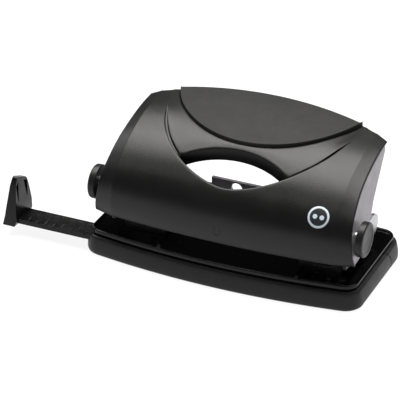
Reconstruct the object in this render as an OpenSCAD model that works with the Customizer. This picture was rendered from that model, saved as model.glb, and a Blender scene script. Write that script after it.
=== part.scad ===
// Two-hole office punch: gloss plate on a chip tray, C-shaped steel towers, a sprung
// lever under a moulded hood with a soft grip pad, and a sliding paper guide.
// Origin: centre of the resting face. +X runs along the base, -Y is the paper side, +Z up.

/* [Base] */
// Length of the base plate along X
plate_len = 120; // [110:1:130]
// Depth of the base plate at its ends
plate_depth = 53; // [48:0.5:58]
// How far the long front edge bows out in the middle
front_bow = 4.5; // [0:0.1:6]
// How far the long rear edge bows out in the middle
rear_bow = 1.2; // [0:0.1:4]
// Corner radius of the base plate in plan
corner_r = 6; // [3:0.5:9]
// Height of the raised rim of the base plate
rim_top = 11.5; // [10:0.1:13]
// How far the tray stands out beyond the plate
tray_out = 2.2; // [1:0.1:3]
// Height of the tray's outer wall
tray_top = 8.7; // [7:0.1:9]
// Wall thickness of the tray
tray_wall = 1.6; // [1:0.1:2.5]

/* [Punching] */
// Distance between the two holes
hole_pitch = 80; // [70:1:108]
// Punch pin radius
pin_r = 3; // [2.5:0.1:3.5]
// Distance of the hole centres from the paper's edge
hole_margin = 12; // [8:0.5:14]
// Y position of the punch pins
pin_y = 1; // [-3:0.5:6]
// Gap for the paper in the towers
throat_gap = 2.5; // [1.5:0.1:4]
// Thickness of the tower and lever sheet
sheet_t = 1.5; // [1:0.1:2]

/* [Handle] */
// Y position of the handle's pivot
pivot_y = -17.5; // [-20:0.5:-14]
// Height of the handle's pivot
pivot_z = 30.6; // [28:0.1:34]
// Radius of the pivot axles
axle_r = 3; // [2:0.1:4]
// Radius of the round caps on the axles
cap_r = 7.7; // [5:0.1:9]
// Half width of the hood between its end bevels
hood_half = 50.8; // [46:0.1:54]
// Half width of the hood at its lower end corners
hood_end = 60.2; // [56:0.1:61]
// Inward lean of the hood's end faces in degrees
end_lean = 7.5; // [0:0.5:12]
// Wall thickness of the hood
hood_wall = 2.4; // [1.8:0.1:3]
// Crown of the hood in the middle
hood_crown = 2.5; // [0:0.1:4]
// Drop of the end bevels
bevel_drop = 2.4; // [0:0.1:4]

/* [Paper guide] */
// How far the guide stands out of the base, from tray wall to fence
guide_out = 35; // [10:1:45]
// Width of the guide's ruler
ruler_w = 11; // [8:0.5:14]
// Thickness of the guide's ruler
ruler_t = 2.2; // [1.5:0.1:3]
// Height of the guide's fence above the table
fence_top = 28; // [20:0.5:32]

/* [Hidden] */
$fn = 48;

// base stack
plate_top = rim_top - 1;
plate_bot = plate_top - 1.1;
rim_w = 1.7;
skirt_z = 9.3;
ledge_in = 0.9;
ledge_t = 1.5;
ledge_z = 7.7;
tray_floor = 1.4;
seam_y = 13.4;
seam_gap = 0.2;
hinge_y = seam_y + 2.3;
hinge_z = 2.2;
hinge_r = 0.9;
lug_w = 6;
lug_x = 43;

// towers
tower_in = 31.5;
tower_out = 54.7;
foot_top = plate_top + sheet_t;
foot_out = 50.7;
throat_top = foot_top + throat_gap;
guide_low_top = throat_top + 1.2;
tower_top = 24.5;
tower_back = 19;
foot_front = -14.2;
tower_round = 5;
lug_r = 5.5;
stop_y = pin_y + hole_margin;
die_r = 5;
rivet_r = 1.5;
rivet_x = [35.6, 47];
rivet_y = [-10.5, 8];
fit_gap = 0.05;

// punches
pin_tip = throat_top + 0.3;
dome_r = 6;
head_r = 5;
head_top = 44.4;
dome_z = head_top - dome_r;
head_low = dome_z + sqrt(dome_r * dome_r - head_r * head_r);
flange_t = 1;
spring_low = tower_top + 0.1;
spring_high = head_low - flange_t - 0.1;
spring_r = 4.1;
wire_r = 0.45;
spring_turns = 6;

// lever
press_z = head_top + 0.35;
web_y = -8;
web_low = 30;
web_high = 36;
tab_half = 11.6;
tab_top = 39.6;
tab_hole_r = 2.6;
screw_x = 24;
screw_z = 33;

// hood side profile at the crease: a nose arc, a shoulder arc and a long top arc
nose_c = [-7.94, 27.29];
nose_r = 19.68;
shoulder_c = [12.07, 8.46];
shoulder_r = 46.93;
top_c = [37.92, -75.74];
top_r = 135.07;
hood_low = 20;
hood_rear = 36.5;
rear_edge_r = 165;
rear_edge_y = 33.6;
smile_c = 21.3;
smile_r = 43.3;
lens_c = -53.8;
lens_r = 48.1;
pad_c = 42.3;
pad_r = 45.3;
pad_proud = 0.9;
pad_sink = 1.3;
crescent_step = 0.7;
end_skin = 0.7;
lip_h = 4;
badge_at = [43.5, -23.6, 40.4];
badge_tilt = [49.9, 4.8, 0];
badge_r = 4.6;

// guide
ruler_y = -25.5;
ruler_z = 5.2;
tray_end = plate_len / 2 + tray_out;
fence_x = -tray_end - guide_out;
ruler_in = -6;
keeper_x = [-30, -12];
keeper_rivet_y = ruler_y + ruler_w + 2.6;

function arc(c, r, a0, a1, n) =
    [for (i = [0 : n]) c + r * [cos(a0 + (a1 - a0) * i / n), sin(a0 + (a1 - a0) * i / n)]];

// plan outline of the base, moved inward by i; n steps on each long edge
function bow_r(b) = (pow(plate_len / 2 - corner_r, 2) + b * b) / (2 * b) + corner_r;
function bow_span(b) = asin((plate_len / 2 - corner_r) / (bow_r(b) - corner_r));
function plan(i) = let (
        hx = plate_len / 2 - corner_r,
        r = corner_r - i,
        fs = bow_span(front_bow),
        rs = bow_span(rear_bow),
        fc = [0, -plate_depth / 2 - front_bow + bow_r(front_bow)],
        rc = [0, plate_depth / 2 + rear_bow - bow_r(rear_bow)],
        fy = fc[1] - (bow_r(front_bow) - corner_r) * cos(fs),
        ry = rc[1] + (bow_r(rear_bow) - corner_r) * cos(rs)
    ) concat(
        arc(fc, bow_r(front_bow) - i, 270 - fs, 270 + fs, 14),
        arc([hx, fy], r, 275 + fs, 360, 6),
        arc([hx, ry], r, 0, 85 - rs, 6),
        arc(rc, bow_r(rear_bow) - i, 90 - rs, 90 + rs, 8),
        arc([-hx, ry], r, 95 + rs, 180, 6),
        arc([-hx, fy], r, 180, 265 - fs, 6)
    );

module slab(i, z0, z1) {
    translate([0, 0, z0]) linear_extrude(z1 - z0) polygon(plan(i));
}

module block(x0, x1, y0, y1, z0, z1) {
    translate([x0, y0, z0]) cube([x1 - x0, y1 - y0, z1 - z0]);
}

// a rod along X
module rod_x(r, x0, x1, y, z) {
    translate([x0, y, z]) rotate([0, 90, 0]) cylinder(r = r, h = x1 - x0);
}

// a sheet standing in the YZ plane, from x0 to x0 + t, drawn as [y, z]
module sheet_yz(x0, t) {
    translate([x0, 0, 0]) rotate([90, 0, 90]) linear_extrude(t) children();
}

module both_sides() {
    children();
    mirror([1, 0, 0]) children();
}

// ---- base ----
module base_plate() {
    color([0.03, 0.03, 0.03]) difference() {
        union() {
            slab(0.6, plate_bot, plate_top);
            difference() {
                slab(0, skirt_z, rim_top);
                slab(rim_w, skirt_z - 1, rim_top + 1);
            }
        }
        both_sides() {
            translate([hole_pitch / 2, pin_y, plate_bot - 1])
                cylinder(r = die_r + fit_gap, h = 4);
            for (x = rivet_x, y = rivet_y)
                translate([x, y, plate_bot - 1]) cylinder(r = rivet_r + fit_gap, h = 4);
        }
        for (x = [keeper_x[0] + 3, keeper_x[1] - 3])
            translate([x, keeper_rivet_y, plate_bot - 1]) cylinder(r = 1 + fit_gap, h = 4);
    }
}

module tray_body(y0, y1) {
    difference() {
        intersection() {
            union() {
                slab(-tray_out, 0, tray_top);
                slab(ledge_in, 0, plate_bot - 0.1);
            }
            block(-80, 80, y0, y1, -1, 12);
        }
        intersection() {
            union() {
                slab(tray_wall - tray_out, tray_floor, ledge_z);
                slab(ledge_in + ledge_t, tray_floor, 12);
            }
            block(-80, 80, y0 + tray_wall, y1 - tray_wall, -1, 12);
        }
    }
}

module chip_tray() {
    color([0.14, 0.14, 0.14]) difference() {
        union() {
            tray_body(-60, seam_y - seam_gap);
            for (s = [-1, 1])
                block(s * lug_x - lug_w / 2, s * lug_x + lug_w / 2,
                    seam_y - tray_wall, hinge_y, 0.3, hinge_z + 1.9);
            for (s = [-1, 1])
                rod_x(1.9, s * lug_x - lug_w / 2, s * lug_x + lug_w / 2, hinge_y, hinge_z);
        }
        rod_x(hinge_r + 0.08, -60, 60, hinge_y, hinge_z);
        // way for the ruler, through the end wall and past the ledge in the corner
        block(-80, -41, ruler_y - 0.4, ruler_y + ruler_w + 0.9, ruler_z - 0.4, 12);
    }
}

module tray_skirt() {
    color([0.14, 0.14, 0.14]) difference() {
        union() {
            tray_body(seam_y, 60);
            for (s = [-1, 1], o = [-1, 1])
                block(s * lug_x + o * (lug_w / 2 + 1.5) - 1.2, s * lug_x + o * (lug_w / 2 + 1.5) + 1.2,
                    seam_y + 0.5, hinge_y + 2.5, 0.5, hinge_z + 2.4);
        }
        for (s = [-1, 1])
            block(s * lug_x - lug_w / 2 - 0.3, s * lug_x + lug_w / 2 + 0.3,
                seam_y - 1, hinge_y + 2.3, -1, hinge_z + 2.3);
        // room for the tray's lower rear edge as it swings open
        sheet_yz(-80, 160) polygon([[seam_y - 1, -1], [seam_y + 1.5, -1], [seam_y + 0.95, 0],
            [seam_y, 1.7], [seam_y - 1, 1.7]]);
        rod_x(hinge_r + fit_gap, -48.8, -37.2, hinge_y, hinge_z);
        rod_x(hinge_r + fit_gap, 37.2, 48.8, hinge_y, hinge_z);
    }
}

module tray_hinge_pins() {
    color([0.7, 0.7, 0.72]) both_sides()
        rod_x(hinge_r, 37.4, 48.6, hinge_y, hinge_z);
}

// ---- towers ----
module tower_arm() {
    translate([-12, throat_top])
        square([tower_back - tower_round + 12, tower_top - throat_top]);
    translate([tower_back - tower_round, tower_top - tower_round]) circle(tower_round);
    polygon([[-18.6, throat_top], [-22.6, 29.5], [-13, 27.8], [-9.3, 24.5], [-9, throat_top]]);
    translate([pivot_y, pivot_z]) circle(lug_r);
}

module tower_column() {
    translate([foot_front, plate_top]) square([tower_back - foot_front, sheet_t]);
    translate([stop_y, plate_top])
        square([tower_back - stop_y, tower_top - tower_round - plate_top]);
}

module tower() {
    difference() {
        union() {
            sheet_yz(tower_in, sheet_t) union() {
                tower_arm();
                tower_column();
            }
            sheet_yz(foot_out - sheet_t, sheet_t) tower_column();
            sheet_yz(tower_out - sheet_t, sheet_t) tower_arm();
            block(tower_in, foot_out, foot_front, tower_back, plate_top, foot_top);
            block(tower_in, tower_out, -11, stop_y + sheet_t, throat_top, guide_low_top);
            block(tower_in, tower_out, -7, tower_back - tower_round, tower_top - sheet_t, tower_top);
            block(tower_in, foot_out, tower_back - sheet_t, tower_back, plate_top,
                tower_top - tower_round);
        }
        rod_x(axle_r + 0.02, tower_in - 1, tower_out + 1, pivot_y, pivot_z);
        translate([hole_pitch / 2, pin_y, throat_top - 1])
            cylinder(r = pin_r + fit_gap, h = tower_top);
        translate([hole_pitch / 2, pin_y, plate_top - 1]) cylinder(r = die_r + fit_gap, h = 3);
        for (x = rivet_x, y = rivet_y)
            translate([x, y, plate_top - 1]) cylinder(r = rivet_r + fit_gap, h = 3);
    }
}

module tower_left() {
    color([0.72, 0.72, 0.74]) mirror([1, 0, 0]) tower();
}

module tower_right() {
    color([0.72, 0.72, 0.74]) tower();
}

module die() {
    translate([hole_pitch / 2, pin_y, 0]) difference() {
        translate([0, 0, plate_bot]) cylinder(r = die_r, h = foot_top - plate_bot);
        translate([0, 0, foot_top - 1.2]) cylinder(r = pin_r + 0.06, h = 2);
        translate([0, 0, plate_bot - 1]) cylinder(r = pin_r + 0.5, h = foot_top - plate_bot - 0.1);
    }
}

module die_left() {
    color([0.5, 0.5, 0.52]) mirror([1, 0, 0]) die();
}

module die_right() {
    color([0.5, 0.5, 0.52]) die();
}

module tower_rivets() {
    color([0.75, 0.75, 0.77]) both_sides() for (x = rivet_x, y = rivet_y) translate([x, y, 0]) {
        translate([0, 0, plate_bot]) cylinder(r = rivet_r, h = foot_top - plate_bot);
        translate([0, 0, plate_bot - 0.7]) cylinder(r = 2.4, h = 0.7);
        translate([0, 0, foot_top]) cylinder(r1 = 2.4, r2 = 1.6, h = 0.8);
    }
}

module axle() {
    rod_x(axle_r, tower_in - 1.2, 62.5, pivot_y, pivot_z);
}

module axle_left() {
    color([0.7, 0.7, 0.72]) mirror([1, 0, 0]) axle();
}

module axle_right() {
    color([0.7, 0.7, 0.72]) axle();
}

module axle_cap() {
    difference() {
        union() {
            rod_x(cap_r, 60.3, 62.9, pivot_y, pivot_z);
            translate([62.9, pivot_y, pivot_z]) rotate([0, 90, 0])
                cylinder(r1 = cap_r, r2 = cap_r - 0.6, h = 0.6);
        }
        rod_x(axle_r + 0.02, 60, 62.6, pivot_y, pivot_z);
    }
}

module axle_cap_left() {
    color([0.16, 0.16, 0.16]) mirror([1, 0, 0]) axle_cap();
}

module axle_cap_right() {
    color([0.16, 0.16, 0.16]) axle_cap();
}

// ---- paper guide ----
module guide_keeper() {
    y0 = ruler_y - 1.4;
    y1 = keeper_rivet_y + 2.2;
    color([0.6, 0.6, 0.62]) difference() {
        block(keeper_x[0], keeper_x[1], y0, y1, 3.6, plate_bot);
        block(keeper_x[0] - 1, keeper_x[1] + 1, ruler_y - 0.2, ruler_y + ruler_w + 0.2,
            ruler_z - 0.2, plate_bot + 1);
        for (x = [keeper_x[0] + 3, keeper_x[1] - 3])
            translate([x, keeper_rivet_y, 3]) cylinder(r = 1 + fit_gap, h = 8);
    }
}

module keeper_rivets() {
    color([0.75, 0.75, 0.77]) for (x = [keeper_x[0] + 3, keeper_x[1] - 3])
        translate([x, keeper_rivet_y, 0]) {
            translate([0, 0, 3.6]) cylinder(r = 1, h = plate_top - 3.6);
            translate([0, 0, 3]) cylinder(r = 1.5, h = 0.6);
        }
}

module guide_detent() {
    z = ruler_z + ruler_t + 0.1;
    xc = (keeper_x[0] + keeper_x[1]) / 2;
    yc = ruler_y + ruler_w / 2;
    color([0.75, 0.75, 0.77]) translate([xc, yc + 2, 0]) rotate([90, 0, 0]) linear_extrude(4)
        polygon([[-8.5, plate_bot], [-8.5, plate_bot - 0.5], [-3, z + 0.9], [-0.6, z],
            [0.6, z], [3, z + 0.9], [8.5, plate_bot - 0.5], [8.5, plate_bot],
            [3, z + 1.5], [0.6, z + 0.5], [-0.6, z + 0.5], [-3, z + 1.5]]);
}

module fence_side() {
    polygon([[fence_x - 7, 4.5], [fence_x - 1.2, 4.5], [fence_x, 7.5], [fence_x - 0.4, fence_top],
        [fence_x - 2.6, fence_top], [fence_x - 5.6, 10]]);
}

module fence_front() {
    polygon([[-28, 4.5], [-12.8, 4.5], [-12.8, 12], [-14.6, fence_top - 4],
        [-17, fence_top], [-24.6, fence_top], [-26.8, fence_top - 3.5], [-28, 12]]);
}

module paper_guide() {
    color([0.08, 0.08, 0.08]) difference() {
        union() {
            block(fence_x - 3, ruler_in, ruler_y, ruler_y + ruler_w, ruler_z, ruler_z + ruler_t);
            intersection() {
                translate([0, -10, 0]) rotate([90, 0, 0]) linear_extrude(20) fence_side();
                sheet_yz(fence_x - 8, 10) fence_front();
            }
        }
        // two tapered recesses in the fence's inner face
        for (y = [-24.6, -18.2])
            sheet_yz(fence_x - 1.3, 3)
                polygon([[y, 10], [y + 2.6, 10], [y + 3.0, 24.5], [y + 0.6, 24.5]]);
        // measuring notches along the ruler
        for (i = [0 : 5])
            block(fence_x + 4 + i * 6, fence_x + 5 + i * 6, ruler_y - 1, ruler_y + (i % 2 == 0 ? 4 : 2.6),
                ruler_z + ruler_t - 0.4, ruler_z + ruler_t + 1);
    }
}

// ---- hood ----
// side profile moved outward by d, with rear edge depth e
function nose_to_shoulder() = atan2(43.0 - nose_c[1], -19.8 - nose_c[0]);
function profile(d, e) = concat(
        arc(nose_c, nose_r + d, 180 + asin((nose_c[1] - hood_low) / (nose_r + d)),
            nose_to_shoulder(), 8),
        arc(shoulder_c, shoulder_r + d, 132.5, 107, 5),
        arc(top_c, top_r + d, 105.4, 90.6, 5),
        [[hood_rear, top_r + top_c[1] + d - e]]
    );

module slice(d, e) {
    sheet_yz(0, 0.05) polygon(profile(d, e));
}

// solid body of the hood moved outward by d, for the outside, steps and hollow
module hood_body(d, e, ends) {
    hull() {
        for (t = [-1, -0.67, -0.33, 0, 0.33, 0.67, 1])
            translate([t * hood_half, 0, 0]) slice(d + hood_crown * (1 - t * t), e);
        for (s = [-1, 1])
            translate([s * hood_end, 0, hood_low + 0.5]) rotate([0, -s * end_lean, 0])
                translate([s * ends, 0, -hood_low - 0.5])
                    slice(d - bevel_drop - ends * bevel_drop / 9, e);
    }
}

module plan_disc(c, r) {
    translate([0, c, 10]) cylinder(r = r, h = 60, $fn = 128);
}

// places a sheet drawn at x = 0 on the leaning end face
module on_end() {
    translate([hood_end, 0, hood_low + 0.5]) rotate([0, -end_lean, 0])
        translate([0, 0, -hood_low - 0.5]) children();
}

module cheek_outline(d) {
    polygon(concat(
        arc(nose_c, nose_r + d, 180 + asin((nose_c[1] - 20.6) / (nose_r + d)),
            nose_to_shoulder(), 8),
        arc(shoulder_c, shoulder_r + d, 132.5, 107, 5),
        arc(top_c, top_r + d, 105.4, 97, 3),
        [[21.6, 52.9], [3.8, 38], [-0.4, 33], [-8.5, 26.5], [-14.6, 21.2]]
    ));
}

module handle_cover() {
    color([0.17, 0.17, 0.17]) difference() {
        union() {
            difference() {
                intersection() {
                    hood_body(0, 4, 0);
                    plan_disc(rear_edge_y - rear_edge_r, rear_edge_r);
                }
                // hollow inside, open below and behind
                intersection() {
                    hood_body(-hood_wall, 36, 4);
                    plan_disc(rear_edge_y - rear_edge_r, rear_edge_r - hood_wall);
                }
                // keeps the lip along the rear edge low
                hood_body(-lip_h, 36, 6);
                block(-70, 70, -21, 40, 10, 20.6);
                // crescent set below the front shell
                difference() {
                    plan_disc(smile_c, smile_r);
                    hood_body(-crescent_step, 36, 4);
                }
                // hand opening
                intersection() {
                    plan_disc(smile_c, smile_r);
                    plan_disc(lens_c, lens_r);
                }
            }
            // wall hanging from the opening's upper edge
            intersection() {
                hood_body(-crescent_step - 0.4, 36, 4);
                difference() {
                    plan_disc(lens_c, lens_r + 1.8);
                    plan_disc(lens_c, lens_r);
                }
                block(-24, 24, -13, 0, 46.8, 60);
            }
            for (x = [-screw_x, screw_x])
                translate([x, web_y + sheet_t / 2 - sheet_t - 0.05, screw_z]) rotate([90, 0, 0])
                    cylinder(r = 2.6, h = 19);
        }
        // pocket for the pad
        intersection() {
            plan_disc(pad_c, pad_r);
            plan_disc(rear_edge_y - rear_edge_r, rear_edge_r - 1.2);
            difference() {
                block(-60, 60, -10, 50, 40, 70);
                hood_body(-pad_sink, 36, 4);
            }
        }
        for (x = [-screw_x, screw_x])
            translate([x, web_y, screw_z]) rotate([90, 0, 0]) cylinder(r = 1.1, h = 11);
        // seats for the lever's end cheeks
        both_sides() on_end() sheet_yz(-1.8, 6) cheek_outline(-bevel_drop - end_skin);
    }
}

module grip_pad() {
    color([0.3, 0.3, 0.3]) intersection() {
        plan_disc(pad_c, pad_r - 0.25);
        plan_disc(rear_edge_y - rear_edge_r, rear_edge_r - 1.4);
        difference() {
            hood_body(pad_proud, 36, 4);
            hood_body(-pad_sink + 0.02, 36, 4);
        }
    }
}

// thin printed emblem that hugs the hood
module badge() {
    color([0.75, 0.8, 0.82]) intersection() {
        translate(badge_at) rotate(badge_tilt) translate([0, 0, -3]) cylinder(r = badge_r, h = 6);
        difference() {
            hood_body(0.17, 4, 0);
            hood_body(0.02, 4, 1);
        }
    }
}

module lever_frame() {
    tab_y0 = pin_y - 6;
    tab_y1 = pin_y + 5.5;
    color([0.62, 0.61, 0.64]) difference() {
        union() {
            both_sides() on_end() sheet_yz(-0.2 - sheet_t, sheet_t)
                cheek_outline(-bevel_drop - end_skin - 0.15);
            block(-57.3, 57.3, web_y - sheet_t / 2, web_y + sheet_t / 2, web_low, web_high);
            block(-tab_half, tab_half, web_y - sheet_t / 2, web_y + sheet_t / 2, web_low, tab_top);
            both_sides() block(34.6, 55.8, tab_y0, tab_y1, press_z, press_z + sheet_t);
        }
        rod_x(axle_r + 0.08, -70, 70, pivot_y, pivot_z);
        translate([0, web_y + 5, web_high + 0.4]) rotate([90, 0, 0])
            cylinder(r = tab_hole_r, h = 10);
        for (x = [-screw_x, screw_x])
            translate([x, web_y + 5, screw_z]) rotate([90, 0, 0])
                cylinder(r = 1.5, h = 10);
    }
}

module cover_screws() {
    color([0.7, 0.7, 0.72]) for (x = [-screw_x, screw_x])
        translate([x, web_y + sheet_t / 2, screw_z]) rotate([-90, 0, 0]) difference() {
            union() {
                translate([0, 0, 0.02]) cylinder(r = 2.6, h = 1.4);
                translate([0, 0, -10]) cylinder(r = 1.05, h = 10.5);
            }
            translate([-2, -0.3, 0.9]) cube([4, 0.6, 1]);
        }
}

// ---- punches ----
module punch() {
    translate([hole_pitch / 2, pin_y, 0]) {
        difference() {
            translate([0, 0, pin_tip]) cylinder(r = pin_r, h = head_low - pin_tip);
            translate([0, 0, pin_tip - 0.6]) rotate([45, 0, 0]) cube([8, 1.2, 1.2], center = true);
        }
        translate([0, 0, head_low - flange_t]) cylinder(r = head_r, h = flange_t);
        intersection() {
            translate([0, 0, dome_z]) sphere(dome_r);
            translate([0, 0, head_low]) cylinder(r = head_r, h = 5);
        }
    }
}

module punch_left() {
    color([0.8, 0.8, 0.82]) mirror([1, 0, 0]) punch();
}

module punch_right() {
    color([0.8, 0.8, 0.82]) punch();
}

module punch_clip() {
    translate([hole_pitch / 2, pin_y, tower_top - sheet_t - 0.75]) difference() {
        cylinder(r = pin_r + 1.8, h = 0.7);
        translate([0, 0, -1]) cylinder(r = pin_r + 0.02, h = 3);
        translate([0, -1.6, -1]) cube([10, 3.2, 3]);
    }
}

module punch_clip_left() {
    color([0.6, 0.6, 0.62]) mirror([1, 0, 0]) punch_clip();
}

module punch_clip_right() {
    color([0.6, 0.6, 0.62]) punch_clip();
}

// round wire wound in a helix with closed end turns
module coil() {
    steps = spring_turns * 18;
    sides = 8;
    rise = spring_high - spring_low - 2 * wire_r;
    pts = [for (i = [0 : steps], k = [0 : sides - 1]) let (
            a = 360 * spring_turns * i / steps,
            b = 360 * k / sides,
            r = spring_r + wire_r * cos(b),
            u = i / steps,
            z = rise * (u + 0.02 * sin(360 * u))
        ) [r * cos(a), r * sin(a), z + wire_r * sin(b)]];
    sidesf = [for (i = [0 : steps - 1], k = [0 : sides - 1]) let (
            p = i * sides + k,
            q = i * sides + (k + 1) % sides
        ) [p, p + sides, q + sides, q]];
    polyhedron(pts, concat(
        [[for (k = [0 : sides - 1]) k]],
        sidesf,
        [[for (k = [sides - 1 : -1 : 0]) steps * sides + k]]
    ));
}

module punch_spring() {
    translate([hole_pitch / 2, pin_y, spring_low + wire_r]) coil();
}

module punch_spring_left() {
    color([0.75, 0.75, 0.77]) translate([-hole_pitch, 0, 0]) punch_spring();
}

module punch_spring_right() {
    color([0.75, 0.75, 0.77]) punch_spring();
}

base_plate();
tray_skirt();
tower_left();
tower_right();
tower_rivets();
die_left();
die_right();
axle_left();
axle_right();
axle_cap_left();
axle_cap_right();
guide_keeper();
keeper_rivets();
guide_detent();
tray_hinge_pins();
chip_tray();
paper_guide();
lever_frame();
handle_cover();
grip_pad();
badge();
cover_screws();
punch_left();
punch_right();
punch_clip_left();
punch_clip_right();
punch_spring_left();
punch_spring_right();
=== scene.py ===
import math
import bpy
import bmesh
import numpy as np
from mathutils import Matrix, Vector


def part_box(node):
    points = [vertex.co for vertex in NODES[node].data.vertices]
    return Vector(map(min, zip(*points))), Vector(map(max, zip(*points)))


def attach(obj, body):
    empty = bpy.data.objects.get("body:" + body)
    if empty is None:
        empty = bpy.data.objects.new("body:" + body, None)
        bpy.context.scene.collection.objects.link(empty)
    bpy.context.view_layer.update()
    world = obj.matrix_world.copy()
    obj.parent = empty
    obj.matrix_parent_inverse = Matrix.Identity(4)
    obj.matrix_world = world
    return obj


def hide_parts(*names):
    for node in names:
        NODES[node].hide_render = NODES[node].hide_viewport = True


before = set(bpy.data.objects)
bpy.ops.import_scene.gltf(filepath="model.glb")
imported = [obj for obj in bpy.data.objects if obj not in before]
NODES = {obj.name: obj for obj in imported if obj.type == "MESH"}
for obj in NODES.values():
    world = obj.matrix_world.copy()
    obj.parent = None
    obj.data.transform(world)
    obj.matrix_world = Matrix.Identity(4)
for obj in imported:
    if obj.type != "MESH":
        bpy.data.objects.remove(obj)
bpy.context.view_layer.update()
MM = 0.001


# ---------------------------------------------------------------- helpers
def raw_object(name, verts, faces, merge=1e-6, clean=False):
    """A mesh object from vertices in mm, with doubles merged and the faces turned outward."""
    me = bpy.data.meshes.new(name)
    me.from_pydata([tuple(v) for v in np.asarray(verts, float) * MM], [], [tuple(f) for f in faces])
    bm = bmesh.new()
    bm.from_mesh(me)
    bmesh.ops.remove_doubles(bm, verts=bm.verts, dist=merge)
    if clean:
        bmesh.ops.dissolve_degenerate(bm, edges=bm.edges, dist=1e-6)
    bmesh.ops.recalc_face_normals(bm, faces=bm.faces)
    bm.to_mesh(me)
    bm.free()
    ob = bpy.data.objects.new(name, me)
    bpy.context.scene.collection.objects.link(ob)
    return ob


def mesh_piece(name, verts, faces, material, body, slot, nodes=(), angle=38.0):
    """A closed piece from vertices in mm, shaded smooth except where it turns sharply."""
    ob = raw_object(name, verts, faces, 2e-6, True)
    ob.data.materials.append(material)
    smooth(ob, angle)
    if nodes:
        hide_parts(*nodes)
    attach(ob, body)
    return ob


def smooth(ob, angle):
    me = ob.data
    me.shade_smooth()
    me.set_sharp_from_angle(angle=math.radians(angle))


def rings(loops, closed_ends=True):
    """Quads between equal closed loops; the first and last loop are capped."""
    n = len(loops[0])
    verts = np.vstack(loops)
    faces = []
    for k in range(len(loops) - 1):
        a, b = k * n, (k + 1) * n
        faces += [(a + i, a + (i + 1) % n, b + (i + 1) % n, b + i) for i in range(n)]
    if closed_ends:
        faces.append(tuple(range(n - 1, -1, -1)))
        faces.append(tuple(range((len(loops) - 1) * n, len(loops) * n)))
    return verts, faces


def boolean(ob, cutter, operation):
    """Applies a boolean and drops the cutter."""
    mod = ob.modifiers.new("cut", "BOOLEAN")
    mod.operation, mod.object, mod.solver = operation, cutter, "EXACT"
    bpy.context.view_layer.update()
    deps = bpy.context.evaluated_depsgraph_get()
    me = bpy.data.meshes.new_from_object(ob.evaluated_get(deps))
    old = ob.data
    ob.modifiers.clear()
    ob.data = me
    bpy.data.meshes.remove(old)
    bpy.data.objects.remove(cutter, do_unlink=True)
    return ob


def prism(name, points, axis, lo, hi):
    """A polygon pushed along an axis; points are the other two coordinates in order."""
    place = "xyz".index(axis)
    return raw_object(name, *rings([np.insert(np.array(points, float), place, v, axis=1) for v in (lo, hi)]))


def box_points(a0, a1, b0, b1):
    """Corners of a rectangle."""
    return [(a0, b0), (a1, b0), (a1, b1), (a0, b1)]


def circle_points(a, b, r, n=48):
    """Corners of a regular polygon round (a, b)."""
    turns = [2 * math.pi * i / n for i in range(n)]
    return [(a + r * math.cos(t), b + r * math.sin(t)) for t in turns]


def lathe_x(profile, y, z, n):
    """Loops round an axis along X from (radius, x) pairs."""
    return rings([np.array([(x, *p) for p in circle_points(y, z, max(r, 0.02), n)]) for r, x in profile])


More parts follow.
